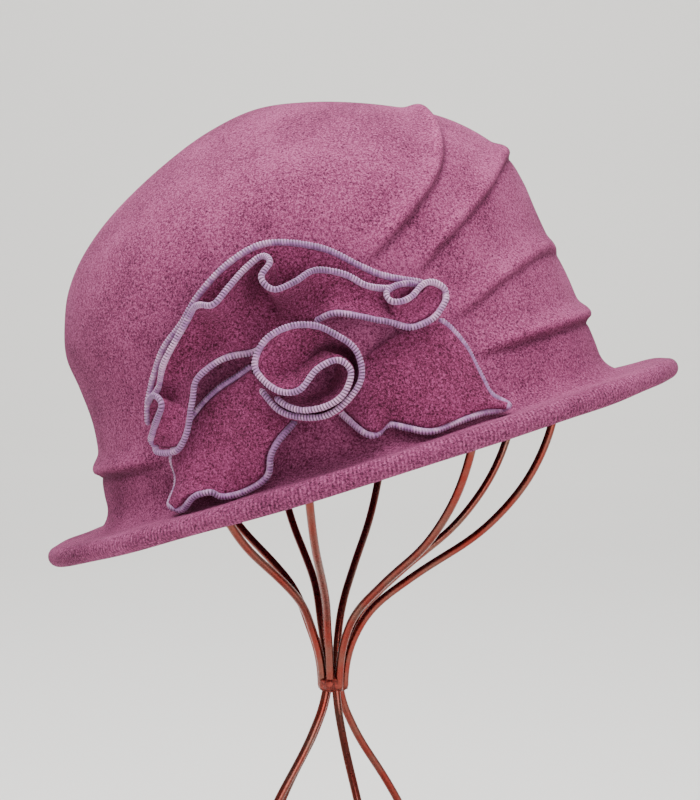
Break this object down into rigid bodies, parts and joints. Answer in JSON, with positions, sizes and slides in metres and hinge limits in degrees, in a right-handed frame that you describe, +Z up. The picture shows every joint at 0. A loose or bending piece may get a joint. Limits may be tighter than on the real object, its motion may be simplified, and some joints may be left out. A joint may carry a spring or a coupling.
{
  "type": "cloche hat on wire stand",
  "caption": "Felted wool cloche hat with sewn tucks, rolled brim and a ruffled flower of edged felt strips, resting on a copper-coloured wire stand.",
  "frame": {"origin": "on the floor, under the middle of the whole thing's box", "axes": "+Z up, the flower's side of the hat faces -Y, the hat's long way lies along X"},
  "size_m": [0.2447, 0.2273, 0.3779],
  "materials": {
    "felt": "matte",
    "petal_felt": "matte",
    "thread": "satin",
    "wire": "gloss"
  },
  "bodies": {
    "root": {"hat_body": "felt", "back_petal": "petal_felt", "ruffle": "petal_felt", "right_petal": "petal_felt", "left_petal": "petal_felt", "rosette": "petal_felt", "back_petal_edging": "thread", "ruffle_edging": "thread", "right_petal_edging": "thread", "left_petal_edging": "thread", "rosette_edging": "thread", "waist_collar": "wire", "top_disc": "wire", "rib_1": "wire", "rib_2": "wire", "rib_3": "wire", "rib_4": "wire", "rib_5": "wire", "rib_6": "wire", "rib_7": "wire", "rib_8": "wire", "leg_1": "wire", "leg_2": "wire", "leg_3": "wire", "leg_4": "wire", "base_ring": "wire"}
  },
  "joints": []
}
